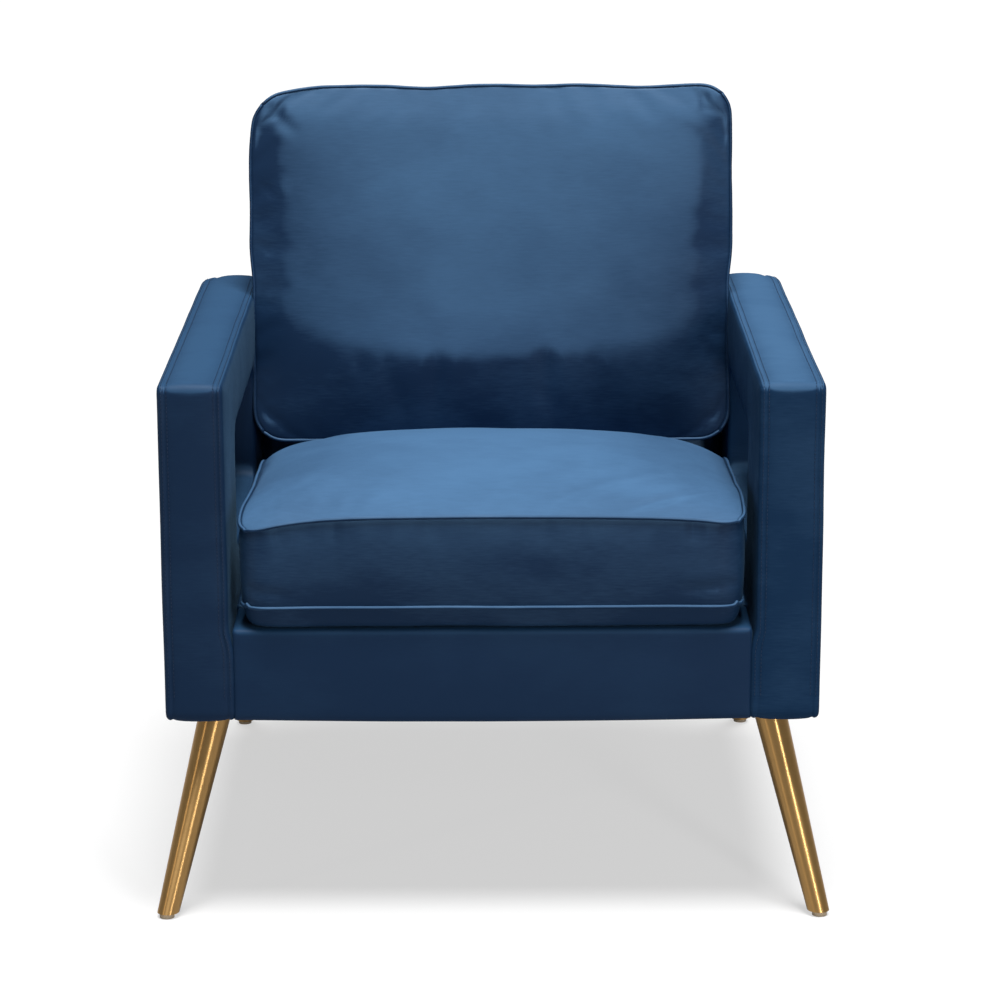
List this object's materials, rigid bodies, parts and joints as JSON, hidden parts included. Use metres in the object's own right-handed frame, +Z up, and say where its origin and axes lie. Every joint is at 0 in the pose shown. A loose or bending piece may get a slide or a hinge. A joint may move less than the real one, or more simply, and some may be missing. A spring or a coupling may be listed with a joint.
{
  "type": "upholstered armchair",
  "caption": "Low upholstered armchair with padded window arms, a sprung seat box, a reclined back, loose piped seat and back cushions and splayed tapered metal legs.",
  "frame": {"origin": "on the floor, at the centre of the chair's outline seen from above", "axes": "+X towards the right arm as seen from the front, +Y towards the back, +Z up"},
  "size_m": [0.7764, 0.7343, 0.8874],
  "materials": {
    "velvet": "matte",
    "foam": "matte",
    "timber": "matte",
    "brass": "satin",
    "glide": "matte",
    "screw_steel": "satin",
    "spring_steel": "satin",
    "webbing": "matte",
    "lining": "matte",
    "deck_cloth": "matte",
    "zip_metal": "satin",
    "zip_tape": "matte"
  },
  "bodies": {
    "chair_frame": {"arm_bolts": "screw_steel", "arm_cover_left": "velvet", "arm_cover_right": "velvet", "arm_foam_left": "foam", "arm_foam_right": "foam", "arm_front_post_left": "timber", "arm_front_post_right": "timber", "arm_lower_rail_left": "timber", "arm_lower_rail_right": "timber", "arm_rear_post_left": "timber", "arm_rear_post_right": "timber", "arm_tee_nuts": "screw_steel", "arm_top_rail_left": "timber", "arm_top_rail_right": "timber", "back_bottom_rail": "timber", "back_foam": "foam", "back_inside_cover": "velvet", "back_outside_cover": "velvet", "back_stile_left": "timber", "back_stile_right": "timber", "back_top_rail": "timber", "back_webbing": "webbing", "corner_blocks": "timber", "deck_cover": "deck_cloth", "deck_pad": "foam", "dust_cover": "lining", "front_rail_cover": "velvet", "front_rail_foam": "foam", "leg_front_left": "brass", "leg_front_right": "brass", "leg_glide_front_left": "glide", "leg_glide_front_right": "glide", "leg_glide_rear_left": "glide", "leg_glide_rear_right": "glide", "leg_plate_front_left": "brass", "leg_plate_front_right": "brass", "leg_plate_rear_left": "brass", "leg_plate_rear_right": "brass", "leg_plate_screws": "screw_steel", "leg_rear_left": "brass", "leg_rear_right": "brass", "seat_front_rail": "timber", "seat_rear_rail": "timber", "seat_side_rail_left": "timber", "seat_side_rail_right": "timber", "seat_spring_rail": "timber", "seat_springs": "spring_steel", "spring_clips": "screw_steel"},
    "seat_cushion": {"seat_cushion_core": "foam", "seat_cushion_cover": "velvet", "seat_cushion_welt_bottom": "velvet", "seat_cushion_welt_top": "velvet", "seat_cushion_zip_chain": "zip_tape"},
    "back_cushion": {"back_cushion_core": "foam", "back_cushion_cover": "velvet", "back_cushion_welt_front": "velvet", "back_cushion_welt_rear": "velvet", "back_cushion_zip_chain": "zip_tape"},
    "seat_zip_slider": {"seat_cushion_zip_slider": "zip_metal"},
    "back_zip_slider": {"back_cushion_zip_slider": "zip_metal"}
  },
  "joints": [
    {"name": "back_cushion_lift", "type": "slide", "parent": "chair_frame", "child": "back_cushion", "axis": [0, 0.2215, 0.9751], "range_m": [0, 0.42]},
    {"name": "seat_cushion_pull", "type": "slide", "parent": "chair_frame", "child": "seat_cushion", "axis": [0, -1, 0], "range_m": [0, 0.58]},
    {"name": "seat_zip_slide", "type": "slide", "parent": "seat_cushion", "child": "seat_zip_slider", "axis": [1, 0, 0], "range_m": [0, 0.466]},
    {"name": "back_zip_slide", "type": "slide", "parent": "back_cushion", "child": "back_zip_slider", "axis": [1, 0, 0], "range_m": [0, 0.466]}
  ]
}
